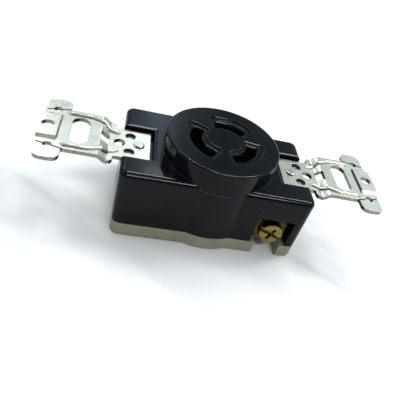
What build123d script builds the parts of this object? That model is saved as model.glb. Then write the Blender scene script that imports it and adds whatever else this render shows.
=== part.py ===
from build123d import *
from math import cos, radians, sin
import os

# Flush single locking receptacle on a two-piece steel yoke, millimetres.
# Origin: centre of the yoke, on the rear face of its mounting ears. +X runs along
# the yoke, +Z points out of the receptacle face, -Y is the side of the lone terminal.

# Cuts and joined blocks run this far past the surface they meet
OVER = 1.0
SINK = 0.5

# Yoke
STRAP_T = 1.2
JOGGLE = 1.56
PLATE_TOP = STRAP_T - JOGGLE
PLATE_BOTTOM = -JOGGLE
PLATE_IN = 21.1
PLATE_OUT = 31.6
PLATE_HALF = 7.0
JOG_IN = 33.4
JOG_OUT = 35.3
JOG_LEAN = 0.43
BEND_R = 0.8
JOG_WINDOW_X = 34.45
JOG_WINDOW_W = 2.5
JOG_WINDOW_L = 4.2
JOG_WINDOW_R = 0.3
TAB_HALF = 9.6
TAB_R = 1.4
STRAP_HALF = 9.8
STRAP_IN = 33.2
EAR_IN = 45.4
EAR_OUT = 52.3
EAR_HALF = 14.5
EAR_R = 2.2
END_BULGE = 53.25
SLOT_X = 41.67
SLOT_HALF_W = 2.63
SLOT_HALF_L = 6.4
SCREW_HOLE_X = 30.16
SCREW_HOLE_R = 1.7
END_HOLE_X = 50.45
END_HOLE_R = 1.8
PAD_IN = 47.5
PAD_HALF = 5.3
PAD_RAMP = 1.2
PAD_RISE = 0.6
SCORE_END_Y = 8.1
SCORE_IN_Y = 9.9
SCORE_W = 0.5
SCORE_DEPTH = 0.35
SCORE_HOLE_X = 49.07
SCORE_HOLE_R = 1.25
BEAD_R = 1.0
BEAD_SINK = 0.45
BEAD_SKIN = 0.3
# Bead centre line: x, distance from the yoke's centre line, height of the sheet there
BEAD_ROUTE = (
    (45.0, 7.9, STRAP_T),
    (38.6, 7.9, STRAP_T),
    (JOG_OUT, 6.5, STRAP_T),
    (JOG_IN, 5.5, PLATE_TOP),
    (31.2, 4.5, PLATE_TOP),
)
NIB_X = 27.17
NIB_Y = 3.9
NIB_R = 1.6
NIB_DEPTH = 0.9
NIB_FIT = 0.05

# Housing and base
HALF_L = 29.3
FRONT_Y = -16.4
BACK_Y = 16.7
# The back wall stands further out round the ground terminal
BACK_LEFT_Y = 19.0
STEP_OUT_X = -12.0
STEP_IN_X = -8.0
CORNER_R = 2.6
TOP_Z = 1.2
TOP_FILLET = 1.7
SEAM_Z = -17.4
BOTTOM_Z = -22.5
BOTTOM_FILLET = 0.9
BULGE_R = 17.7
BULGE_TOP = -0.1
TOWER_R = 17.5
FACE_Z = 7.4
FACE_FILLET = 0.5
RECESS_HALF = 7.9
RECESS_IN = 20.0
RECESS_BEVEL = 0.4
CAVITY_X = 26.2
CAVITY_Y = 13.8
CAVITY_R = 1.2
CAVITY_TOP = -4.4
TOWER_CAVITY_R = 13.6
TOWER_CAVITY_TOP = 3.3
WALL_OUT_Y = 20.5

# Blade slots: end angles in degrees at the outer and at the inner radius
LEAD_OUT_R = 12.1
LEAD_IN_R = 5.7
LEAD_DEPTH = 0.6
LEAD_CORNER = 0.9
LEAD_BEVEL = 0.3
LEAD_ENDS = {
    "ground": ((146, 247), (137, 260)),
    "line_1": ((-78, 1), (-82, 12)),
    "line_2": ((33, 109), (27, 121)),
}
HOLE_OUT_R = 10.3
HOLE_IN_R = 6.9
HOLE_CORNER = 0.5
HOLE_BEVEL = 0.35
HOLE_ENDS = {
    "ground": ((151, 243), (147, 248)),
    "line_1": ((-74, -4), (-76, 1)),
    "line_2": ((41, 103), (37, 109)),
}

# Contacts
CONTACT_TOP = -1.5
CONTACT_BOTTOM = -10.7
CONTACT_T = 0.7
CONTACT_FLOOR = 0.8
CONTACT_EASE = 1.5
MOUTH_DEPTH = 0.5
MOUTH_WALL = 0.25
CLIP_T = 0.35
CLIP_DROP = 1.5
CLIP_HALF_ANGLE = 9
CLIP_RELIEF = 2
OPEN_END = 5
POCKET_IN_R = 6.35
POCKET_OUT_R = 10.9
CARRIER_R = 13.3
CARRIER_TOP = 3.2
CARRIER_BORE_R = 2.5
CARRIER_BORE_TOP = -2.7
POCKET_EASE = 1
PEDESTAL_R = 11.9
LUG_HALF = 2.1
LUG_START_R = 9.6
LUG_GAP = 0.2
JOINT_HOLE_R = 1.2
JOINT_RIVET_R = 1.15
JOINT_HEAD_R = 1.9
JOINT_HEAD_H = 0.6
JOINT_HEAD_FILLET = 0.4
JOINT_Z = -11.9

# Terminals
TERM_X = 19.8
TERM_Z = -13.7
PLATE_Y = 11.4
TERM_T = 1.3
TERM_BOTTOM = -17.1
TERM_TOP = -8.7
LEG_T = 1.2
LEG_OUT = 17.4
WINDOW_IN = 13.85
WINDOW_TOP = -7.2
NOTCH_HALF = 4.15
NOTCH_Y = PLATE_Y - TERM_T
CLAMP_Y = 13.65
CLAMP_T = 1.0
CLAMP_HALF = 5.0
CLAMP_H = 7.1
CLAMP_RISE = 0.15
CLAMP_CORNER = 0.8
HEAD_Y = 13.7
HEAD_R = 3.85
HEAD_H = 2.1
HEAD_FILLET = 0.4
SHANK_R = 2.05
SHANK_CLEAR = 0.06
SHANK_END = 8.0
SHANK_POINT = 0.5
BORE_R = 2.45
RECESS_TURN = {"line_1": 157, "line_2": 24, "ground": 71}
SLOT_W = 1.1
SLOT_DEPTH = 0.9
CROSS_L = 4.6
CROSS_W = 1.2
CROSS_DEPTH = 1.4
CROSS_TAPER = 14
# Blocks behind each terminal plate: from x, to x, top
BLOCKS = ((15.3, 17.7, -12.9), (17.6, 25.2, -9.0))
BLOCK_IN_Y = 6.6
CHEEK_IN = 25.6
CHEEK_IN_Y = 10.2
CHEEK_OUT_Y = 14.3
SHIELD_IN = 13.0
SHIELD_IN_Y = 8.5
SHIELD_T = 1.6
SHIELD_Y = 9.2
SHIELD_BOTTOM = -8.9

# Rivets and the bonding strap
RIVET_X = 24.44
RIVET_R = 1.1
RIVET_HOLE_R = 1.15
RIVET_HEAD_R = 1.65
RIVET_HEAD_H = 0.6
RIVET_HEAD_FILLET = 0.5
RIVET_FOOT_R = 2.3
RIVET_FOOT_H = 0.9
RIVET_FOOT_FILLET = 0.6
COUNTERBORE_R = 2.9
COUNTERBORE_DEPTH = 1.6
SCREW_CLEAR = 0.3
POST_R = 3.1
POST_FLAT_X = 26.1
BOND_T = 0.8
BOND_HALF = 1.7
BOND_RIVET_R = 2.6
BOND_JOINT_R = 2.3

TERMINALS = {
    "line_1": {"sx": 1, "sy": -1, "joint": (12.3, -9.4), "clip": -63, "lug": -40},
    "line_2": {"sx": 1, "sy": 1, "joint": (12.3, 9.4), "clip": 88, "lug": 52},
    "ground": {"sx": -1, "sy": 1, "joint": (-14.9, 6.1), "clip": 215, "lug": 168},
}

os.makedirs("parts", exist_ok=True)


def save(part, label):
    """Label one piece and write it as its own file."""
    part.label = label
    export_step(part, f"parts/{label}.step")


def polar(radius, angle):
    """Point on a circle about the receptacle axis."""
    return (radius * cos(radians(angle)), radius * sin(radians(angle)))


def band(r_in, r_out, ends_out, ends_in, corner=0.0):
    """Curved slot outline between two radii, its ends given at each radius."""
    with BuildSketch() as sketch:
        with BuildLine():
            CenterArc((0, 0), r_out, ends_out[0], ends_out[1] - ends_out[0])
            CenterArc((0, 0), r_in, ends_in[0], ends_in[1] - ends_in[0])
            Line(polar(r_in, ends_in[0]), polar(r_out, ends_out[0]))
            Line(polar(r_in, ends_in[1]), polar(r_out, ends_out[1]))
        make_face()
        if corner:
            fillet(sketch.vertices(), corner)
    return sketch.sketch


def strip(start, end, half_width):
    """Straight strip between two points with a round far end."""
    dx, dy = end[0] - start[0], end[1] - start[1]
    length = (dx * dx + dy * dy) ** 0.5
    nx, ny = -dy / length * half_width, dx / length * half_width
    with BuildSketch() as sketch:
        with BuildLine():
            Polyline(
                (start[0] + nx, start[1] + ny),
                (start[0] - nx, start[1] - ny),
                (end[0] - nx, end[1] - ny),
                (end[0] + nx, end[1] + ny),
                close=True,
            )
        make_face()
        with Locations(end):
            Circle(half_width)
    return sketch.sketch


def facing(sy, distance):
    """Upright plane that far from the yoke's centre line; +amount goes to -Y."""
    return Plane.XZ.offset(-sy * distance)


def body_outline():
    """Outline of the moulded body, its back wall stepped out on the left."""
    with BuildSketch() as sketch:
        with BuildLine():
            Polyline(
                (-HALF_L, FRONT_Y),
                (HALF_L, FRONT_Y),
                (HALF_L, BACK_Y),
                (STEP_IN_X, BACK_Y),
                (STEP_OUT_X, BACK_LEFT_Y),
                (-HALF_L, BACK_LEFT_Y),
                close=True,
            )
        make_face()
        fillet(sketch.vertices(), CORNER_R)
    return sketch.sketch


def inner_edges(builder, level):
    """Edges round every opening in the flat faces at one height."""
    flats = builder.faces().filter_by(Axis.Z).filter_by_position(Axis.Z, level - LUG_GAP, level + LUG_GAP)
    return [edge for flat in flats for wire in flat.inner_wires() for edge in wire.edges()]


# ---------------------------------------------------------------- yoke
with BuildPart() as ridges:
    for side in (-1, 1):
        route = [(x, side * y, top - BEAD_SINK) for x, y, top in BEAD_ROUTE]
        for start, end in zip(route, route[1:]):
            direction = Vector(*end) - Vector(*start)
            with BuildSketch(Plane(origin=start, z_dir=direction)):
                Circle(BEAD_R)
            extrude(amount=direction.length)
        with Locations(*route):
            Sphere(BEAD_R)

with BuildPart() as above_sheet:
    with BuildSketch(Plane.XZ):
        with BuildLine():
            Polyline(
                (PLATE_IN, PLATE_TOP - BEAD_SKIN),
                (JOG_IN, PLATE_TOP - BEAD_SKIN),
                (JOG_OUT, STRAP_T - BEAD_SKIN),
                (END_BULGE, STRAP_T - BEAD_SKIN),
                (END_BULGE, STRAP_T + BEAD_R),
                (PLATE_IN, STRAP_T + BEAD_R),
                close=True,
            )
        make_face()
    extrude(amount=EAR_HALF, both=True)

with BuildPart() as yoke_right:
    with BuildSketch(Plane.XZ) as profile:
        with BuildLine():
            Polyline(
                (PLATE_IN, PLATE_TOP),
                (JOG_IN, PLATE_TOP),
                (JOG_OUT, STRAP_T),
                (END_BULGE + OVER, STRAP_T),
                (END_BULGE + OVER, 0),
                (JOG_OUT + JOG_LEAN, 0),
                (JOG_IN + JOG_LEAN, PLATE_BOTTOM),
                (PLATE_IN, PLATE_BOTTOM),
                close=True,
            )
        make_face()
        inside_bends = ((JOG_IN, PLATE_TOP), (JOG_OUT + JOG_LEAN, 0))
        outside_bends = ((JOG_IN + JOG_LEAN, PLATE_BOTTOM), (JOG_OUT, STRAP_T))
        for bends, radius in ((inside_bends, BEND_R), (outside_bends, BEND_R + STRAP_T)):
            for x, z in bends:
                fillet(profile.vertices().sort_by_distance((x, z, 0))[0], radius)
    extrude(amount=EAR_HALF + OVER, both=True)
    # The pad between the ears is lanced and pushed up
    with BuildSketch(Plane.YZ.offset(PAD_IN)):
        with BuildLine():
            Polyline(
                (-PAD_HALF - PAD_RAMP, STRAP_T - PAD_RISE / 2),
                (-PAD_HALF - PAD_RAMP, STRAP_T),
                (-PAD_HALF, STRAP_T + PAD_RISE),
                (PAD_HALF, STRAP_T + PAD_RISE),
                (PAD_HALF + PAD_RAMP, STRAP_T),
                (PAD_HALF + PAD_RAMP, STRAP_T - PAD_RISE / 2),
                close=True,
            )
        make_face()
    extrude(amount=END_BULGE - PAD_IN + OVER)
    with BuildSketch(Plane.YZ.offset(PAD_IN)):
        with BuildLine():
            Polyline(
                (-PAD_HALF - PAD_RAMP, 0),
                (-PAD_HALF, PAD_RISE),
                (PAD_HALF, PAD_RISE),
                (PAD_HALF + PAD_RAMP, 0),
                close=True,
            )
        make_face()
    extrude(amount=END_BULGE - PAD_IN + OVER, mode=Mode.SUBTRACT)
    # Trim to the stamped outline
    with BuildSketch(Plane.XY.offset(PLATE_BOTTOM - OVER)):
        with Locations(((PLATE_IN + JOG_IN) / 2, 0)):
            Rectangle(JOG_IN - PLATE_IN, 2 * PLATE_HALF)
        with Locations(((PLATE_OUT + JOG_OUT) / 2, 0)):
            RectangleRounded(JOG_OUT - PLATE_OUT, 2 * TAB_HALF, TAB_R)
        with Locations(((STRAP_IN + EAR_IN + EAR_R) / 2, 0)):
            Rectangle(EAR_IN + EAR_R - STRAP_IN, 2 * STRAP_HALF)
        with Locations(((EAR_IN + EAR_OUT) / 2, 0)):
            RectangleRounded(EAR_OUT - EAR_IN, 2 * EAR_HALF, EAR_R)
        with BuildLine():
            ThreePointArc((EAR_OUT, -SCORE_END_Y), (END_BULGE, 0), (EAR_OUT, SCORE_END_Y))
            Polyline((EAR_OUT, SCORE_END_Y), (EAR_OUT - EAR_R, 0), (EAR_OUT, -SCORE_END_Y))
        make_face()
    extrude(amount=JOGGLE + STRAP_T + 2 * OVER, mode=Mode.INTERSECT)
    add(ridges.part & above_sheet.part)
    # Mounting slot, screw holes, the window in the joggle and the score-line holes
    score_slope = (SCORE_IN_Y - SCORE_END_Y) / (EAR_OUT - EAR_IN)
    score_y = SCORE_END_Y + (EAR_OUT - SCORE_HOLE_X) * score_slope
    with BuildSketch(Plane.XY.offset(PLATE_BOTTOM - OVER)):
        with Locations((SLOT_X, 0)):
            SlotOverall(2 * SLOT_HALF_L, 2 * SLOT_HALF_W, rotation=90)
        with Locations((SCREW_HOLE_X, 0)):
            Circle(SCREW_HOLE_R)
        with Locations((END_HOLE_X, 0)):
            Circle(END_HOLE_R)
        with Locations((RIVET_X, 0)):
            Circle(RIVET_HOLE_R)
        with Locations((JOG_WINDOW_X, 0)):
            RectangleRounded(JOG_WINDOW_W, JOG_WINDOW_L, JOG_WINDOW_R)
        with Locations((SCORE_HOLE_X, score_y), (SCORE_HOLE_X, -score_y)):
            Circle(SCORE_HOLE_R)
    extrude(amount=JOGGLE + STRAP_T + 2 * OVER, mode=Mode.SUBTRACT)
    # Break-off score lines between the strap and the ears
    for side in (-1, 1):
        with BuildSketch(Plane.XY.offset(STRAP_T - SCORE_DEPTH)):
            with BuildLine():
                Polyline(
                    (EAR_OUT + SCORE_W, side * (SCORE_END_Y - SCORE_W / 2)),
                    (EAR_OUT + SCORE_W, side * (SCORE_END_Y + SCORE_W / 2)),
                    (EAR_IN - SCORE_W, side * (SCORE_IN_Y + SCORE_W / 2)),
                    (EAR_IN - SCORE_W, side * (SCORE_IN_Y - SCORE_W / 2)),
                    close=True,
                )
            make_face()
        extrude(amount=SCORE_DEPTH + OVER, mode=Mode.SUBTRACT)
    # Semi-pierced dimples that key the plate into the housing
    with BuildSketch(Plane.XY.offset(PLATE_TOP - NIB_DEPTH)):
        with Locations((NIB_X, NIB_Y), (NIB_X, -NIB_Y)):
            Circle(NIB_R)
    extrude(amount=NIB_DEPTH + OVER, mode=Mode.SUBTRACT)
    with BuildSketch(Plane.XY.offset(PLATE_BOTTOM - NIB_DEPTH)):
        with Locations((NIB_X, NIB_Y), (NIB_X, -NIB_Y)):
            Circle(NIB_R - NIB_FIT)
    extrude(amount=NIB_DEPTH)

save(yoke_right.part, "yoke_right")
save(mirror(yoke_right.part, about=Plane.YZ), "yoke_left")

# ---------------------------------------------------------------- housing
with BuildPart() as housing:
    with BuildSketch(Plane.XY.offset(SEAM_Z)):
        add(body_outline())
    extrude(amount=TOP_Z - SEAM_Z)
    fillet(housing.faces().sort_by(Axis.Z)[-1].edges(), TOP_FILLET)
    with BuildSketch(Plane.XY.offset(SEAM_Z)):
        Circle(BULGE_R)
    extrude(amount=BULGE_TOP - SEAM_Z)
    with BuildSketch(Plane.XY.offset(BULGE_TOP - OVER)):
        Circle(TOWER_R)
    extrude(amount=FACE_Z - BULGE_TOP + OVER)
    fillet(housing.faces().sort_by(Axis.Z)[-1].edges(), FACE_FILLET)
    # Recess for each yoke plate, with a broken edge along its rim
    recess_l = HALF_L - RECESS_IN + OVER
    with BuildSketch(Plane.XY.offset(PLATE_BOTTOM)):
        for side in (-1, 1):
            with Locations((side * (RECESS_IN + recess_l / 2), 0)):
                Rectangle(recess_l, 2 * RECESS_HALF)
    extrude(amount=TOP_Z - PLATE_BOTTOM + OVER, mode=Mode.SUBTRACT)
    with BuildSketch(Plane.XY.offset(TOP_Z)):
        for side in (-1, 1):
            with Locations((side * (RECESS_IN - RECESS_BEVEL + recess_l / 2), 0)):
                Rectangle(recess_l + 2 * RECESS_BEVEL, 2 * (RECESS_HALF + RECESS_BEVEL))
    extrude(amount=-RECESS_BEVEL, taper=45, mode=Mode.SUBTRACT)
    # Cavity, tower cavity and the rivet posts
    with BuildSketch(Plane.XY.offset(SEAM_Z)):
        RectangleRounded(2 * CAVITY_X, 2 * CAVITY_Y, CAVITY_R)
    extrude(amount=CAVITY_TOP - SEAM_Z, mode=Mode.SUBTRACT)
    with BuildSketch(Plane.XY.offset(CAVITY_TOP - OVER)):
        Circle(TOWER_CAVITY_R)
    extrude(amount=TOWER_CAVITY_TOP - CAVITY_TOP + OVER, mode=Mode.SUBTRACT)
    with BuildSketch(Plane.XY.offset(JOINT_Z)):
        with Locations((RIVET_X, 0), (-RIVET_X, 0)):
            Circle(POST_R)
    extrude(amount=CAVITY_TOP - JOINT_Z + SINK)
    # Walls that close off each terminal chamber above its plate
    with BuildSketch(Plane.XY.offset(SHIELD_BOTTOM)):
        for spot in TERMINALS.values():
            sx, sy = spot["sx"], spot["sy"]
            with Locations((sx * (SHIELD_IN + CAVITY_X + SINK) / 2, sy * SHIELD_Y)):
                Rectangle(CAVITY_X + SINK - SHIELD_IN, SHIELD_T)
            with Locations((sx * SHIELD_IN, sy * (SHIELD_IN_Y + CAVITY_Y + SINK) / 2)):
                Rectangle(SHIELD_T, CAVITY_Y + SINK - SHIELD_IN_Y)
    extrude(amount=CAVITY_TOP - SHIELD_BOTTOM + SINK)
    # Rivet holes, sockets for the dimples and clearance for the wall-plate screws
    with BuildSketch(Plane.XY.offset(SEAM_Z - OVER)):
        with Locations((RIVET_X, 0), (-RIVET_X, 0)):
            Circle(RIVET_HOLE_R)
        with Locations((SCREW_HOLE_X, 0), (-SCREW_HOLE_X, 0)):
            Circle(SCREW_HOLE_R + SCREW_CLEAR)
    extrude(amount=TOP_Z - SEAM_Z + 2 * OVER, mode=Mode.SUBTRACT)
    with BuildSketch(Plane.XY.offset(PLATE_BOTTOM - NIB_DEPTH - LUG_GAP)):
        for sx in (-1, 1):
            with Locations((sx * NIB_X, NIB_Y), (sx * NIB_X, -NIB_Y)):
                Circle(NIB_R)
    extrude(amount=NIB_DEPTH + OVER, mode=Mode.SUBTRACT)
    # Terminal openings in the long walls, each with a cheek beside its plates
    for spot in TERMINALS.values():
        sx, sy = spot["sx"], spot["sy"]
        with BuildSketch(Plane.XY.offset(SEAM_Z)):
            with Locations((sx * (WINDOW_IN + CHEEK_IN) / 2, sy * (CAVITY_Y - OVER + WALL_OUT_Y) / 2)):
                Rectangle(CHEEK_IN - WINDOW_IN, WALL_OUT_Y - CAVITY_Y + OVER)
        extrude(amount=WINDOW_TOP - SEAM_Z, mode=Mode.SUBTRACT)
        with BuildSketch(Plane.XY.offset(SEAM_Z)):
            with Locations((sx * (CHEEK_IN + CAVITY_X + SINK) / 2, sy * (CHEEK_IN_Y + CHEEK_OUT_Y) / 2)):
                Rectangle(CAVITY_X + SINK - CHEEK_IN, CHEEK_OUT_Y - CHEEK_IN_Y)
        extrude(amount=WINDOW_TOP - SEAM_Z + SINK)
    # Blade slots, each in a shallow dished shelf
    for key, ends in HOLE_ENDS.items():
        with BuildSketch(Plane.XY.offset(FACE_Z - LEAD_DEPTH)):
            add(band(LEAD_IN_R, LEAD_OUT_R, *LEAD_ENDS[key], corner=LEAD_CORNER))
        extrude(amount=LEAD_DEPTH, mode=Mode.SUBTRACT)
        with BuildSketch(Plane.XY.offset(TOWER_CAVITY_TOP - OVER)):
            add(band(HOLE_IN_R, HOLE_OUT_R, *ends, corner=HOLE_CORNER))
        extrude(amount=FACE_Z - TOWER_CAVITY_TOP + OVER, mode=Mode.SUBTRACT)
    chamfer(inner_edges(housing, FACE_Z), LEAD_BEVEL)
    chamfer(inner_edges(housing, FACE_Z - LEAD_DEPTH), HOLE_BEVEL)

save(housing.part, "housing")

# ---------------------------------------------------------------- base
with BuildPart() as base:
    with BuildSketch(Plane.XY.offset(BOTTOM_Z)):
        add(body_outline())
        Circle(BULGE_R)
    extrude(amount=SEAM_Z - BOTTOM_Z)
    fillet(base.faces().sort_by(Axis.Z)[0].edges(), BOTTOM_FILLET)
    # Pedestal under the contact carrier
    with BuildSketch(Plane.XY.offset(SEAM_Z - SINK)):
        Circle(PEDESTAL_R)
    extrude(amount=CONTACT_BOTTOM - SEAM_Z + SINK)
    # Blocks that back each terminal plate
    for spot in TERMINALS.values():
        sx, sy = spot["sx"], spot["sy"]
        for low, high, top in BLOCKS:
            with BuildSketch(Plane.XY.offset(SEAM_Z - SINK)):
                with Locations((sx * (low + high) / 2, sy * (NOTCH_Y + BLOCK_IN_Y) / 2)):
                    Rectangle(high - low, NOTCH_Y - BLOCK_IN_Y)
            extrude(amount=top - SEAM_Z + SINK)
    # Rivet posts, the left one lower by the bonding strap on it
    for sx, top in ((1, JOINT_Z), (-1, JOINT_Z - BOND_T)):
        with BuildSketch(Plane.XY.offset(SEAM_Z - SINK)):
            with Locations((sx * RIVET_X, 0)):
                Circle(POST_R)
            with Locations((sx * (POST_FLAT_X + POST_R / 2), 0)):
                Rectangle(POST_R, 2 * POST_R, mode=Mode.SUBTRACT)
        extrude(amount=top - SEAM_Z + SINK)
    with BuildSketch(Plane.XY.offset(BOTTOM_Z - OVER)):
        with Locations((RIVET_X, 0), (-RIVET_X, 0)):
            Circle(RIVET_HOLE_R)
        with Locations((SCREW_HOLE_X, 0), (-SCREW_HOLE_X, 0)):
            Circle(SCREW_HOLE_R + SCREW_CLEAR)
    extrude(amount=JOINT_Z - BOTTOM_Z + 2 * OVER, mode=Mode.SUBTRACT)
    with BuildSketch(Plane.XY.offset(BOTTOM_Z)):
        with Locations((RIVET_X, 0), (-RIVET_X, 0)):
            Circle(COUNTERBORE_R)
    extrude(amount=COUNTERBORE_DEPTH, mode=Mode.SUBTRACT)
    # Wire notch under each terminal screw, and the screw's bore in its block
    for spot in TERMINALS.values():
        sx, sy = spot["sx"], spot["sy"]
        with BuildSketch(Plane.XY.offset(BOTTOM_Z - OVER)):
            with Locations((sx * TERM_X, sy * (NOTCH_Y + WALL_OUT_Y) / 2)):
                Rectangle(2 * NOTCH_HALF, WALL_OUT_Y - NOTCH_Y)
        extrude(amount=SEAM_Z - BOTTOM_Z + 2 * OVER, mode=Mode.SUBTRACT)
        with BuildSketch(facing(sy, BLOCK_IN_Y - SINK)):
            with Locations((sx * TERM_X, TERM_Z)):
                Circle(BORE_R)
        extrude(amount=-sy * (NOTCH_Y - BLOCK_IN_Y + 2 * SINK), mode=Mode.SUBTRACT)
    # Room for the head of the ground joint's rivet
    with BuildSketch(Plane.XY.offset(JOINT_Z - BOND_T - JOINT_HEAD_H - JOINT_HEAD_FILLET)):
        with Locations(TERMINALS["ground"]["joint"]):
            Circle(JOINT_HEAD_R + SCREW_CLEAR)
    extrude(amount=JOINT_HEAD_H + OVER, mode=Mode.SUBTRACT)
    # Relief for the spring clips
    with BuildSketch(Plane.XY.offset(CONTACT_BOTTOM - CLIP_T - NIB_FIT)):
        for spot in TERMINALS.values():
            half_angle = CLIP_HALF_ANGLE + CLIP_RELIEF
            ends = (spot["clip"] - half_angle, spot["clip"] + half_angle)
            add(band(POCKET_IN_R, POCKET_OUT_R, ends, ends))
    extrude(amount=CLIP_T + OVER, mode=Mode.SUBTRACT)

save(base.part, "base")

# ---------------------------------------------------------------- contact carrier
with BuildPart() as contact_carrier:
    with BuildSketch(Plane.XY.offset(CONTACT_BOTTOM)):
        Circle(CARRIER_R)
    extrude(amount=CARRIER_TOP - CONTACT_BOTTOM)
    for key, spot in TERMINALS.items():
        (out_0, out_1), _ = HOLE_ENDS[key]
        ends = (out_0 - POCKET_EASE, out_1 + POCKET_EASE)
        with BuildSketch(Plane.XY.offset(CONTACT_BOTTOM - OVER)):
            add(band(POCKET_IN_R, POCKET_OUT_R, ends, ends))
        extrude(amount=CARRIER_TOP - CONTACT_BOTTOM + 2 * OVER, mode=Mode.SUBTRACT)
        with BuildSketch(Plane.XY.offset(CONTACT_BOTTOM - OVER)):
            add(strip(polar(LUG_START_R, spot["lug"]), spot["joint"], LUG_HALF + LUG_GAP))
        extrude(amount=OVER + CONTACT_FLOOR + LUG_GAP, mode=Mode.SUBTRACT)
    with BuildSketch(Plane.XY.offset(CONTACT_BOTTOM - OVER)):
        Circle(CARRIER_BORE_R)
    extrude(amount=CARRIER_BORE_TOP - CONTACT_BOTTOM + OVER, mode=Mode.SUBTRACT)

save(contact_carrier.part, "contact_carrier")

# ---------------------------------------------------------------- contacts and terminals
for key, spot in TERMINALS.items():
    sx, sy = spot["sx"], spot["sy"]
    joint = spot["joint"]
    (out_0, out_1), _ = HOLE_ENDS[key]
    span = (out_0 + CONTACT_EASE, out_1 - CONTACT_EASE)
    open_span = (span[0] - OPEN_END, span[1] + OPEN_END)

    with BuildPart() as contact:
        with BuildSketch(Plane.XY.offset(CONTACT_BOTTOM)):
            add(band(HOLE_IN_R, HOLE_OUT_R, span, span))
        extrude(amount=CONTACT_TOP - CONTACT_BOTTOM)
        with BuildSketch(Plane.XY.offset(CONTACT_BOTTOM + CONTACT_FLOOR)):
            add(band(HOLE_IN_R + CONTACT_T, HOLE_OUT_R - CONTACT_T, open_span, open_span))
        extrude(amount=CONTACT_TOP - CONTACT_BOTTOM, mode=Mode.SUBTRACT)
        # Flared mouth
        with BuildSketch(Plane.XY.offset(CONTACT_TOP - MOUTH_DEPTH)):
            add(band(HOLE_IN_R + CONTACT_T, HOLE_OUT_R - CONTACT_T, open_span, open_span))
        with BuildSketch(Plane.XY.offset(CONTACT_TOP)):
            add(band(HOLE_IN_R + MOUTH_WALL, HOLE_OUT_R - MOUTH_WALL, open_span, open_span))
        loft(ruled=True, mode=Mode.SUBTRACT)
        with BuildSketch(Plane.XY.offset(CONTACT_BOTTOM)):
            add(strip(polar(LUG_START_R, spot["lug"]), joint, LUG_HALF))
        extrude(amount=CONTACT_FLOOR)
        with BuildSketch(Plane.XY.offset(CONTACT_BOTTOM)):
            with Locations(joint):
                Circle(JOINT_HOLE_R)
        extrude(amount=CONTACT_FLOOR, mode=Mode.SUBTRACT)
    save(contact.part, f"contact_{key}")

    clip_span = (spot["clip"] - CLIP_HALF_ANGLE, spot["clip"] + CLIP_HALF_ANGLE)
    clip_open = (clip_span[0] - OPEN_END, clip_span[1] + OPEN_END)
    clip_h = CONTACT_TOP - CLIP_DROP - CONTACT_BOTTOM + CLIP_T
    with BuildPart() as clip:
        with BuildSketch(Plane.XY.offset(CONTACT_BOTTOM - CLIP_T)):
            add(band(HOLE_IN_R - CLIP_T, HOLE_OUT_R + CLIP_T, clip_span, clip_span))
        extrude(amount=clip_h)
        with BuildSketch(Plane.XY.offset(CONTACT_BOTTOM)):
            add(band(HOLE_IN_R, HOLE_OUT_R, clip_open, clip_open))
        extrude(amount=clip_h, mode=Mode.SUBTRACT)
    save(clip.part, f"spring_clip_{key}")

    # Terminal plate with a leg under the contact's lug
    leg_in_y = abs(joint[1]) - LUG_HALF - LUG_GAP
    leg_in_x = abs(joint[0]) - LUG_HALF - LUG_GAP
    with BuildPart() as terminal:
        with BuildSketch(Plane.XY.offset(TERM_BOTTOM)):
            with Locations((sx * TERM_X, sy * (PLATE_Y - TERM_T / 2))):
                Rectangle(2 * CLAMP_HALF, TERM_T)
        extrude(amount=TERM_TOP - TERM_BOTTOM)
        with BuildSketch(Plane.XY.offset(JOINT_Z)):
            with Locations((sx * (leg_in_x + LEG_OUT) / 2, sy * (leg_in_y + PLATE_Y) / 2)):
                Rectangle(LEG_OUT - leg_in_x, PLATE_Y - leg_in_y)
        extrude(amount=LEG_T)
        with BuildSketch(Plane.XY.offset(JOINT_Z)):
            with Locations(joint):
                Circle(JOINT_HOLE_R)
        extrude(amount=LEG_T, mode=Mode.SUBTRACT)
        with BuildSketch(facing(sy, PLATE_Y + OVER)):
            with Locations((sx * TERM_X, TERM_Z)):
                Circle(SHANK_R + SHANK_CLEAR)
        extrude(amount=sy * (TERM_T + 2 * OVER), mode=Mode.SUBTRACT)
    save(terminal.part, f"terminal_{key}")

    # Rivet that joins lug and leg, longer where it holds the bonding strap too
    stack_low = JOINT_Z - (BOND_T if key == "ground" else 0)
    stack_top = CONTACT_BOTTOM + CONTACT_FLOOR
    with BuildPart() as joint_rivet:
        with BuildSketch(Plane.XY.offset(stack_low)):
            with Locations(joint):
                Circle(JOINT_RIVET_R)
        extrude(amount=stack_top - stack_low)
        for level, amount in ((stack_low, -JOINT_HEAD_H), (stack_top, JOINT_HEAD_H)):
            with BuildSketch(Plane.XY.offset(level)):
                with Locations(joint):
                    Circle(JOINT_HEAD_R)
            extrude(amount=amount)
        rims = joint_rivet.faces().sort_by(Axis.Z)
        fillet(rims[0].edges() + rims[-1].edges(), JOINT_HEAD_FILLET)
    save(joint_rivet.part, f"contact_rivet_{key}")

    # Pressure plate carried under the screw head
    with BuildPart() as pressure_plate:
        with BuildSketch(facing(sy, CLAMP_Y)):
            with Locations((sx * TERM_X, TERM_Z + CLAMP_RISE)):
                Rectangle(2 * CLAMP_HALF, CLAMP_H)
        extrude(amount=sy * CLAMP_T)
        chamfer(pressure_plate.edges().filter_by(Axis.Y), CLAMP_CORNER)
        with BuildSketch(facing(sy, CLAMP_Y)):
            with Locations((sx * TERM_X, TERM_Z)):
                Circle(SHANK_R + SHANK_CLEAR)
        extrude(amount=sy * CLAMP_T, mode=Mode.SUBTRACT)
    save(pressure_plate.part, f"pressure_plate_{key}")

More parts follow.
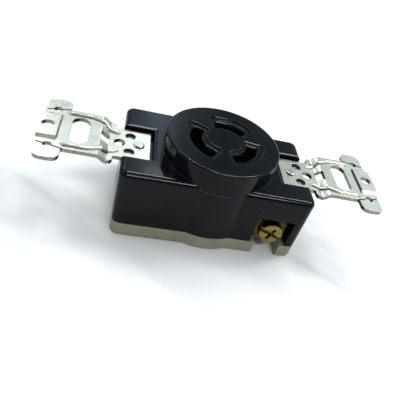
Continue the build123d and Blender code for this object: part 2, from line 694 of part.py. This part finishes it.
    # Terminal screw with a slot and cross recess
    outer = -1 if sy > 0 else 0
    with BuildPart() as screw:
        with BuildSketch(facing(sy, HEAD_Y)):
            with Locations((sx * TERM_X, TERM_Z)):
                Circle(HEAD_R)
        extrude(amount=-sy * HEAD_H)
        fillet(screw.faces().sort_by(Axis.Y)[outer].edges(), HEAD_FILLET)
        with BuildSketch(facing(sy, HEAD_Y)):
            with Locations((sx * TERM_X, TERM_Z)):
                Circle(SHANK_R)
        extrude(amount=sy * (HEAD_Y - SHANK_END))
        chamfer(screw.faces().sort_by(Axis.Y)[-1 - outer].edges(), SHANK_POINT)
        with BuildSketch(facing(sy, HEAD_Y + HEAD_H - SLOT_DEPTH)):
            with Locations(Location((sx * TERM_X, TERM_Z), RECESS_TURN[key])):
                Rectangle(2 * HEAD_R + OVER, SLOT_W)
        extrude(amount=-sy * (SLOT_DEPTH + OVER), mode=Mode.SUBTRACT)
        with BuildSketch(facing(sy, HEAD_Y + HEAD_H)):
            with Locations(Location((sx * TERM_X, TERM_Z), RECESS_TURN[key])):
                Rectangle(CROSS_L, CROSS_W)
                Rectangle(CROSS_W, CROSS_L)
        extrude(amount=sy * CROSS_DEPTH, taper=CROSS_TAPER, mode=Mode.SUBTRACT)
    save(screw.part, f"terminal_screw_{key}")

# ---------------------------------------------------------------- rivets and bond
foot = BOTTOM_Z + COUNTERBORE_DEPTH
for side, name in ((-1, "left"), (1, "right")):
    with BuildPart() as rivet:
        with BuildSketch(Plane.XY.offset(foot)):
            with Locations((side * RIVET_X, 0)):
                Circle(RIVET_R)
        extrude(amount=PLATE_TOP - foot)
        with BuildSketch(Plane.XY.offset(PLATE_TOP)):
            with Locations((side * RIVET_X, 0)):
                Circle(RIVET_HEAD_R)
        extrude(amount=RIVET_HEAD_H)
        fillet(rivet.faces().sort_by(Axis.Z)[-1].edges(), RIVET_HEAD_FILLET)
        with BuildSketch(Plane.XY.offset(foot)):
            with Locations((side * RIVET_X, 0)):
                Circle(RIVET_FOOT_R)
        extrude(amount=-RIVET_FOOT_H)
        fillet(rivet.faces().sort_by(Axis.Z)[0].edges(), RIVET_FOOT_FILLET)
    save(rivet.part, f"rivet_{name}")

with BuildPart() as ground_bond:
    with BuildSketch(Plane.XY.offset(JOINT_Z - BOND_T)):
        add(strip((-RIVET_X, 0), TERMINALS["ground"]["joint"], BOND_HALF))
        with Locations((-RIVET_X, 0)):
            Circle(BOND_RIVET_R)
        with Locations(TERMINALS["ground"]["joint"]):
            Circle(BOND_JOINT_R)
        with Locations((-POST_FLAT_X - BOND_RIVET_R / 2, 0)):
            Rectangle(BOND_RIVET_R, 2 * BOND_RIVET_R, mode=Mode.SUBTRACT)
        with Locations((-RIVET_X, 0)):
            Circle(RIVET_HOLE_R, mode=Mode.SUBTRACT)
        with Locations(TERMINALS["ground"]["joint"]):
            Circle(JOINT_HOLE_R, mode=Mode.SUBTRACT)
    extrude(amount=BOND_T)

save(ground_bond.part, "ground_bond")
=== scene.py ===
import bpy
from mathutils import Matrix, Vector


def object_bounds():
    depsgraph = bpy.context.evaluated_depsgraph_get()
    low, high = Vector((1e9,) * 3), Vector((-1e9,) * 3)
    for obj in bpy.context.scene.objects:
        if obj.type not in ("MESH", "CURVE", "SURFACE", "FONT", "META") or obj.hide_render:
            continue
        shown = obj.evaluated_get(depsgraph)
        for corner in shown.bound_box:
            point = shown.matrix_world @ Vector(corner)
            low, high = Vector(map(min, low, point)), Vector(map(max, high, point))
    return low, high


# Flush twist-locking receptacle: materials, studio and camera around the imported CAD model.
# Metres, row frame: +X along the yoke, +Z out of the receptacle face.

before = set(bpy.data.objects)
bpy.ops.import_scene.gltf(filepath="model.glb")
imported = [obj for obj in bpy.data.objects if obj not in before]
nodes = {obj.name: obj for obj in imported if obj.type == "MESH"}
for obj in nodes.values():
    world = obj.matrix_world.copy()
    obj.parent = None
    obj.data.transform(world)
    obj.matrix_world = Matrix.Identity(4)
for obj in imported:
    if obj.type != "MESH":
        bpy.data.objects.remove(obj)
cad_low, cad_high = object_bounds()

# ------------------------------------------------------------------ materials

# Sockets of a colour mix node: its two colours and its result
MIX_FIRST = 6
MIX_SECOND = 7
MIX_RESULT = 2

# Cosine between a face's own normal and its rounded one, on a flat and on a sharp edge
FLAT_COSINE = 0.985
EDGE_COSINE = 0.85

# Share of its surroundings that a face is open to, on a plain face and in an inner corner
OPEN_FACE = 0.94
INNER_CORNER = 0.62

# Z of the normal in the piece's own frame, above which a face is level and below which it is upright
LEVEL_NORMAL = 0.55
UPRIGHT_NORMAL = 0.15

# How much paler than its metal a worn edge is
EDGE_LIFT = 1.5

# Stretch of a noise whose streaks run up the piece or along the yoke
UP_STREAKS = (1, 1, 0.1)
LONG_STREAKS = (0.1, 1, 1)


class Shader:
    """A Principled material built from small procedural layers in object coordinates."""

    def __init__(self, name, metallic=0.0, ior=1.5, specular=0.5):
        self.material = bpy.data.materials.new(name)
        self.material.use_nodes = True
        self.tree = self.material.node_tree
        self.principled = self.tree.nodes["Principled BSDF"]
        for socket, value in (("Metallic", metallic), ("IOR", ior), ("Specular IOR Level", specular)):
            self.principled.inputs[socket].default_value = value
        self.place = self.node("ShaderNodeTexCoord").outputs["Object"]
        self.bumps = None

    def node(self, kind, **values):
        """A new node with its properties set."""
        made = self.tree.nodes.new(kind)
        for key, value in values.items():
            setattr(made, key, value)
        return made

    def link(self, source, target):
        self.tree.links.new(source, target)

    def noise(self, scale, detail=3.0, roughness=0.55, stretch=(1, 1, 1), distortion=0.0):
        """Noise with features about 1/scale metres wide, drawn out along the axes with small stretch."""
        mapping = self.node("ShaderNodeMapping")
        mapping.inputs["Scale"].default_value = stretch
        self.link(self.place, mapping.inputs["Vector"])
        noise = self.node("ShaderNodeTexNoise")
        noise.inputs["Scale"].default_value = scale
        noise.inputs["Detail"].default_value = detail
        noise.inputs["Roughness"].default_value = roughness
        noise.inputs["Distortion"].default_value = distortion
        self.link(mapping.outputs["Vector"], noise.inputs["Vector"])
        return noise.outputs["Fac"]

    def cells(self, scale):
        """Distance to the nearest of scattered points about 1/scale metres apart."""
        cells = self.node("ShaderNodeTexVoronoi")
        cells.inputs["Scale"].default_value = scale
        self.link(self.place, cells.inputs["Vector"])
        return cells.outputs["Distance"]

    def remap(self, value, taken, given=(0.0, 1.0)):
        """value carried from the taken range to the given one and held at its ends."""
        made = self.node("ShaderNodeMapRange")
        for socket, number in zip(("From Min", "From Max", "To Min", "To Max"), (*taken, *given)):
            made.inputs[socket].default_value = number
        self.link(value, made.inputs["Value"])
        return made.outputs["Result"]

    def maths(self, operation, *values):
        """A sum, product or the like of numbers and other layers' outputs."""
        made = self.node("ShaderNodeMath", operation=operation)
        for socket, value in zip(made.inputs, values):
            if isinstance(value, (int, float)):
                socket.default_value = value
            else:
                self.link(value, socket)
        return made.outputs["Value"]

    def mix(self, factor, first, second):
        """Colour mix; each colour is a tuple or another layer's output."""
        made = self.node("ShaderNodeMix", data_type="RGBA")
        self.link(factor, made.inputs["Factor"])
        for socket, value in ((MIX_FIRST, first), (MIX_SECOND, second)):
            if isinstance(value, tuple):
                made.inputs[socket].default_value = (*value, 1.0)
            else:
                self.link(value, made.inputs[socket])
        return made.outputs[MIX_RESULT]

    def edges(self, radius, most):
        """most on edges and corners within radius metres, 0 on flats."""
        bevel = self.node("ShaderNodeBevel", samples=4)
        bevel.inputs["Radius"].default_value = radius
        geometry = self.node("ShaderNodeNewGeometry")
        cosine = self.node("ShaderNodeVectorMath", operation="DOT_PRODUCT")
        self.link(bevel.outputs["Normal"], cosine.inputs[0])
        self.link(geometry.outputs["Normal"], cosine.inputs[1])
        return self.remap(cosine.outputs["Value"], (FLAT_COSINE, EDGE_COSINE), (0.0, most))

    def creases(self, reach, most):
        """most down in inner corners, falling to 0 on open faces reach metres away."""
        hollow = self.node("ShaderNodeAmbientOcclusion", samples=12, only_local=True)
        hollow.inputs["Distance"].default_value = reach
        return self.remap(hollow.outputs["AO"], (OPEN_FACE, INNER_CORNER), (0.0, most))

    def upright(self):
        """1 on faces that stand upright in the piece's own frame, 0 on its level faces."""
        parts = self.node("ShaderNodeSeparateXYZ")
        self.link(self.node("ShaderNodeTexCoord").outputs["Normal"], parts.inputs["Vector"])
        return self.remap(self.maths("ABSOLUTE", parts.outputs["Z"]), (LEVEL_NORMAL, UPRIGHT_NORMAL))

    def bump(self, height, distance, strength):
        """Adds relief of up to distance metres to what is there already."""
        made = self.node("ShaderNodeBump")
        made.inputs["Distance"].default_value = distance
        made.inputs["Strength"].default_value = strength
        self.link(height, made.inputs["Height"])
        if self.bumps is not None:
            self.link(self.bumps, made.inputs["Normal"])
        self.bumps = made.outputs["Normal"]

    def rounded(self, radius, samples=4):
        """Softens the shading of sharp edges. It comes before any bump."""
        bevel = self.node("ShaderNodeBevel", samples=samples)
        bevel.inputs["Radius"].default_value = radius
        self.bumps = bevel.outputs["Normal"]

    def finish(self, color, roughness):
        """Links the layers to the shader and gives the material."""
        self.link(color, self.principled.inputs["Base Color"])
        self.link(roughness, self.principled.inputs["Roughness"])
        if self.bumps is not None:
            self.link(self.bumps, self.principled.inputs["Normal"])
        return self.material


def housing_plastic():
    """Glossy black moulded thermoplastic: flow mottling, orange peel, handling scuffs, a little dust and
    painted highlights on its edges.
    """
    black = (0.0034, 0.0042, 0.0048)
    flow_black = (0.0054, 0.0064, 0.0072)
    dust_grey = (0.20, 0.21, 0.21)
    edge_highlight_grey = (0.100, 0.118, 0.135)
    skin = Shader("housing_plastic", ior=1.49, specular=0.125)
    skin.rounded(0.00028, samples=8)
    flow = skin.noise(90, detail=4, stretch=(0.5, 1, 1), distortion=0.6)
    color = skin.mix(skin.remap(flow, (0.35, 0.7)), black, flow_black)
    dust = skin.remap(skin.noise(5200, detail=1), (0.70, 0.78))
    patch = skin.remap(skin.noise(140, detail=3), (0.45, 0.72), (0.0, 0.10))
    color = skin.mix(skin.maths("MULTIPLY", dust, patch), color, dust_grey)
    # Painted highlight: edges and corners are paler, standing in for light caught on the rounded rims
    color = skin.mix(skin.edges(0.0002, most=0.50), color, edge_highlight_grey)
    haze = skin.remap(skin.noise(420, detail=5, roughness=0.65), (0.3, 0.75), (0.07, 0.14))
    scuffs = skin.remap(skin.noise(1500, detail=2, stretch=(1, 0.06, 1)), (0.68, 0.76), (0.0, 0.08))
    skin.bump(skin.noise(700, detail=2), distance=0.00001, strength=0.35)
    skin.bump(skin.noise(3600, detail=2), distance=0.000003, strength=0.3)
    return skin.finish(color, skin.maths("ADD", haze, scuffs))


def base_plastic():
    """Matte grey-beige moulded thermoset: filler specks and a finely eroded skin."""
    deep_beige = (0.225, 0.222, 0.162)
    pale_beige = (0.295, 0.290, 0.218)
    speck_brown = (0.090, 0.088, 0.066)
    edge_beige = (0.40, 0.40, 0.32)
    skin = Shader("base_plastic", specular=0.25)
    skin.rounded(0.0001)
    clouds = skin.remap(skin.noise(160, detail=5, distortion=0.4), (0.32, 0.68))
    color = skin.mix(clouds, deep_beige, pale_beige)
    color = skin.mix(skin.remap(skin.cells(2600), (0.16, 0.05), (0.0, 0.4)), color, speck_brown)
    color = skin.mix(skin.edges(0.0003, most=0.3), color, edge_beige)
    skin.bump(skin.noise(2600, detail=4), distance=0.00002, strength=0.5)
    return skin.finish(color, skin.remap(skin.noise(600, detail=3), (0.3, 0.7), (0.42, 0.62)))


def carrier_plastic():
    """Matte black moulded thermoset, seen only down the blade slots."""
    black = (0.004, 0.0045, 0.005)
    cloud_black = (0.008, 0.009, 0.010)
    skin = Shader("carrier_plastic", specular=0.12)
    skin.rounded(0.0001)
    color = skin.mix(skin.remap(skin.noise(240, detail=4), (0.35, 0.65)), black, cloud_black)
    skin.bump(skin.noise(2600, detail=4), distance=0.00002, strength=0.5)
    return skin.finish(color, skin.remap(skin.noise(600, detail=3), (0.3, 0.7), (0.45, 0.62)))


def plated_steel():
    """Pale zinc plate on rolled strip: spangle, speckle, rolling grain, painted glints, and painted shade
    in creases and on upright faces, which also stands for the duller sheared edges.
    """
    zinc = (0.70, 0.66, 0.54)
    pale_zinc = (0.86, 0.82, 0.70)
    speckle_grey = (0.36, 0.36, 0.28)
    painted_glint_white = (0.95, 0.95, 0.88)
    upright_shade_grey = (0.105, 0.110, 0.100)
    crease_shade_grey = (0.075, 0.075, 0.062)
    skin = Shader("plated_steel", metallic=0.85)
    skin.rounded(0.0001)
    color = skin.mix(skin.remap(skin.noise(210, detail=5, distortion=0.5), (0.3, 0.7)), zinc, pale_zinc)
    speckle = skin.remap(skin.noise(3400, detail=2), (0.50, 0.68), (0.0, 0.55))
    color = skin.mix(speckle, color, speckle_grey)
    # Painted glints: random near-white spots in the base colour stand in for sparkle of light on the
    # plating
    painted_glint = skin.remap(skin.noise(4200, detail=1), (0.60, 0.72), (0.0, 0.8))
    color = skin.mix(painted_glint, color, painted_glint_white)
    # Painted shade: faces upright in the piece's own frame are darkened, which also stands for the duller
    # sheared edges
    uneven = skin.remap(skin.noise(700, detail=3), (0.3, 0.7), (0.65, 0.95))
    color = skin.mix(skin.maths("MULTIPLY", skin.upright(), uneven), color, upright_shade_grey)
    # Painted shade: inner corners and creases darkened by how open they are to their surroundings
    color = skin.mix(skin.creases(0.0009, most=0.9), color, crease_shade_grey)
    skin.bump(skin.noise(1500, detail=3, stretch=(0.08, 1, 1)), distance=0.00001, strength=0.22)
    skin.bump(skin.noise(2800, detail=3), distance=0.00001, strength=0.24)
    return skin.finish(color, skin.remap(skin.noise(900, detail=4), (0.3, 0.7), (0.17, 0.28)))


def bare_metal(name, pale, dark, rough, grain=(1, 1, 1), stain=None):
    """Drawn or turned metal: colour clouds, grain, worn edges and, where a stain is given, tarnish."""
    worn = tuple(min(1.0, EDGE_LIFT * level) for level in pale)
    skin = Shader(name, metallic=1.0)
    skin.rounded(0.00008)
    color = skin.mix(skin.remap(skin.noise(320, detail=5, distortion=0.7), (0.3, 0.7)), dark, pale)
    if stain:
        color = skin.mix(skin.remap(skin.noise(750, detail=4), (0.52, 0.72), (0.0, 0.7)), color, stain)
    color = skin.mix(skin.edges(0.0002, most=0.45), color, worn)
    skin.bump(skin.noise(2400, detail=3, stretch=grain), distance=0.000012, strength=0.5)
    return skin.finish(color, skin.remap(skin.noise(1100, detail=4), (0.3, 0.7), rough))


def floor_paint():
    """Matte white studio floor, slightly clouded."""
    white = (0.945, 0.94, 0.935)
    bright_white = (0.955, 0.95, 0.945)
    skin = Shader("floor", specular=0.2)
    color = skin.mix(skin.remap(skin.noise(3, detail=2), (0.3, 0.7)), white, bright_white)
    return skin.finish(color, skin.remap(skin.noise(40, detail=2), (0.3, 0.7), (0.75, 0.85)))


LOOKS = {
    "housing": housing_plastic(),
    "base": base_plastic(),
    "contact_carrier": carrier_plastic(),
    "yoke": plated_steel(),
    "rivet": bare_metal(
        "rivet_steel",
        pale=(0.72, 0.72, 0.66),
        dark=(0.50, 0.50, 0.46),
        rough=(0.16, 0.28),
    ),
    "spring_clip": bare_metal(
        "spring_steel",
        pale=(0.42, 0.43, 0.42),
        dark=(0.30, 0.31, 0.31),
        rough=(0.24, 0.36),
        grain=UP_STREAKS,
    ),
    "contact": bare_metal(
        "contact_brass",
        pale=(0.52, 0.38, 0.18),
        dark=(0.36, 0.25, 0.11),
        rough=(0.20, 0.36),
        grain=UP_STREAKS,
    ),
    # Brass darkened far below its own colour: painted shade of the terminal window, with tarnish in the
    # stain
    "terminal": bare_metal(
        "plate_brass",
        pale=(0.125, 0.098, 0.036),
        dark=(0.065, 0.050, 0.018),
        rough=(0.24, 0.42),
        grain=LONG_STREAKS,
        stain=(0.035, 0.028, 0.014),
    ),
    # Brass darkened below its own colour: painted shade of the terminal window on the screw, with tarnish
    # in the stain
    "terminal_screw": bare_metal(
        "screw_brass",
        pale=(0.31, 0.235, 0.080),
        dark=(0.18, 0.134, 0.044),
        rough=(0.22, 0.40),
        stain=(0.070, 0.052, 0.024),
    ),
    "terminal_screw_ground": bare_metal(
        "screw_green",
        pale=(0.05, 0.22, 0.09),
        dark=(0.025, 0.13, 0.05),
        rough=(0.25, 0.42),
        stain=(0.05, 0.11, 0.05),
    ),
}

# Looks shared with pieces of another name
SAME_LOOK = {"contact_rivet": "rivet", "ground_bond": "terminal", "pressure_plate": "terminal"}

for name, piece in nodes.items():
    # The longest start of the node's name that has a look
    kind = max((key for key in (*LOOKS, *SAME_LOOK) if name.startswith(key)), key=len)
    piece.data.materials.clear()
    piece.data.materials.append(LOOKS[SAME_LOOK.get(kind, kind)])

# ------------------------------------------------------------------ studio

# Middle of the body, which every light faces
AIM = Vector((0, 0, -0.008))
WARM_WHITE = (1.0, 0.965, 0.93)
COOL_WHITE = (0.93, 0.97, 1.0)
CARD_WHITE = (0.94, 0.97, 1.0)


def area_light(name, place, size, power, color=(1, 1, 1), mirrored=True, only=None):
    """Rectangular soft light at place, its size in metres and its power in watts.

    It shows in reflections unless mirrored is False. With only, a node's name, it reaches that node alone,
    and there it makes highlights but no diffuse light.
    """
    data = bpy.data.lights.new(name, "AREA")
    data.shape = "RECTANGLE"
    data.size, data.size_y = size
    data.energy = power
    data.color = color
    light = bpy.data.objects.new(name, data)
    bpy.context.collection.objects.link(light)
    light.location = place
    light.visible_glossy = mirrored
    if only:
        lit = bpy.data.collections.new(name)
        lit.objects.link(nodes[only])
        light.light_linking.receiver_collection = lit
        light.visible_diffuse = False
    light.rotation_euler = (Vector(place) - AIM).to_track_quat("Z", "Y").to_euler()


area_light("long_strip", (0.45, 0.55, 1.25), (1.50, 0.045), 12.0)
area_light("edge_strip", (0.45, 0.55, 1.25), (1.50, 0.070), 50.0, only="housing")
area_light("key_right", (1.05, 0.50, 1.45), (0.26, 0.26), 4.0)
area_light("behind_left", (-0.55, 1.50, 1.25), (0.36, 0.30), 2.2, COOL_WHITE)
area_light("side_left", (-1.40, 0.30, 1.30), (0.40, 0.40), 3.5)
area_light("front_fill", (0.28, -1.14, 1.62), (0.80, 0.30), 11.5, WARM_WHITE, mirrored=False)
area_light("right_card", (0.90, -0.94, 1.24), (0.30, 0.12), 0.7)
area_light("corner_card", (0.165, 1.22, 1.008), (0.14, 0.05), 0.15, only="housing")
area_light("rim_card", (0.20, -1.14, 1.62), (1.30, 0.32), 44.0, CARD_WHITE, only="housing")


def greys(*stops):
    """Colour stops from (position, grey level) pairs."""
    return tuple((position, (level, level, level)) for position, level in stops)


# The sky is three colour ramps multiplied together, each driven by one part of the direction looked in
# By height, 0 at the horizon and 1 overhead: a pale band low down, a dark gap and a blue-white dome
BY_HEIGHT = (
    (0.0, (0.78, 0.80, 0.81)),
    (0.07, (0.76, 0.79, 0.81)),
    (0.12, (0.20, 0.24, 0.27)),
    (0.22, (0.28, 0.34, 0.39)),
    (0.42, (0.62, 0.76, 0.88)),
    (0.68, (0.70, 0.85, 0.98)),
    (0.85, (0.42, 0.48, 0.53)),
    (1.0, (0.30, 0.34, 0.36)),
)
# From the -X side, 0, to the +X side, 1: a narrow bright card near the middle with a dark gap beside it
ACROSS = greys(
    (0.0, 0.60),
    (0.44, 0.62),
    (0.50, 0.80),
    (0.518, 0.98),
    (0.542, 2.30),
    (0.572, 0.50),
    (0.615, 0.20),
    (0.68, 0.38),
    (0.74, 0.80),
    (1.0, 0.80),
)
# From the front, 0, to the back, 1: dark in front
IN_DEPTH = greys((0.0, 0.22), (0.28, 0.22), (0.45, 1.0), (1.0, 1.0))
# The second and third ramps have no effect up to the first height and their full effect from the second
BAND_TOP = 0.07
BAND_GONE = 0.13
SKY_STRENGTH = 1.35
# Where a new ramp stop appears, until it is moved to its place
NEW_STOP = 0.5

world = bpy.data.worlds.new("studio")
bpy.context.scene.world = world
world.use_nodes = True
sky = world.node_tree
direction = sky.nodes.new("ShaderNodeTexCoord")
parts = sky.nodes.new("ShaderNodeSeparateXYZ")
sky.links.new(direction.outputs["Generated"], parts.inputs["Vector"])


def share(axis, low, high):
    """The direction's part along an axis, from low..high to 0..1 and held at the ends."""
    made = sky.nodes.new("ShaderNodeMapRange")
    made.inputs["From Min"].default_value = low
    made.inputs["From Max"].default_value = high
    sky.links.new(parts.outputs[axis], made.inputs["Value"])
    return made.outputs["Result"]


def sky_ramp(source, stops):
    """Colour ramp driven by one number, its stops given as (position, colour)."""
    ramp = sky.nodes.new("ShaderNodeValToRGB")
    sky.links.new(source, ramp.inputs["Fac"])
    while len(ramp.color_ramp.elements) < len(stops):
        ramp.color_ramp.elements.new(NEW_STOP)
    for element, (position, color) in zip(ramp.color_ramp.elements, stops):
        element.position = position
        element.color = (*color, 1.0)
    return ramp.outputs["Color"]


def times(first, second):
    """The product of two colours above the pale band, and first alone inside it."""
    made = sky.nodes.new("ShaderNodeMix")
    made.data_type = "RGBA"
    made.blend_type = "MULTIPLY"
    sky.links.new(share("Z", BAND_TOP, BAND_GONE), made.inputs["Factor"])
    sky.links.new(first, made.inputs[MIX_FIRST])
    sky.links.new(second, made.inputs[MIX_SECOND])
    return made.outputs[MIX_RESULT]


brightness = times(sky_ramp(parts.outputs["Z"], BY_HEIGHT), sky_ramp(share("X", -1.0, 1.0), ACROSS))
brightness = times(brightness, sky_ramp(share("Y", -1.0, 1.0), IN_DEPTH))
background = sky.nodes["Background"]
sky.links.new(brightness, background.inputs["Color"])
background.inputs["Strength"].default_value = SKY_STRENGTH

FLOOR_SIZE = 12.0

bpy.ops.mesh.primitive_plane_add(size=FLOOR_SIZE, location=(0, 0, cad_low[2]))
floor = bpy.context.active_object
floor.name = "floor"
floor.data.materials.append(floor_paint())

# ------------------------------------------------------------------ camera

CAMERA_AT = Vector((-0.0315, -0.1125, 0.0793))
FORWARD = Vector((0.2254, 0.7271, -0.6485)).normalized()
# Roughly up in the picture, made square to FORWARD below
NEAR_UP = Vector((-0.1478, 0.6835, 0.7149))
UP = (NEAR_UP - FORWARD * NEAR_UP.dot(FORWARD)).normalized()
RIGHT = FORWARD.cross(UP)
# Millimetres, as Blender counts a lens
SENSOR_WIDTH = 36
FOCAL_LENGTH = 39.24
# The picture's middle, off the lens's axis by these shares of its width
SHIFT_X = -0.0067
SHIFT_Y = 0.0025
# Metres from the camera between which things are drawn
NEAREST = 0.005
FARTHEST = 50

lens = bpy.data.cameras.new("camera")
lens.sensor_width = SENSOR_WIDTH
lens.lens = FOCAL_LENGTH
lens.shift_x = SHIFT_X
lens.shift_y = SHIFT_Y
lens.clip_start = NEAREST
lens.clip_end = FARTHEST
camera = bpy.data.objects.new("camera", lens)
bpy.context.collection.objects.link(camera)
turn = Matrix((RIGHT, UP, -FORWARD)).transposed().to_4x4()
camera.matrix_world = Matrix.Translation(CAMERA_AT) @ turn
bpy.context.scene.camera = camera
bpy.context.scene.view_settings.view_transform = "Standard"
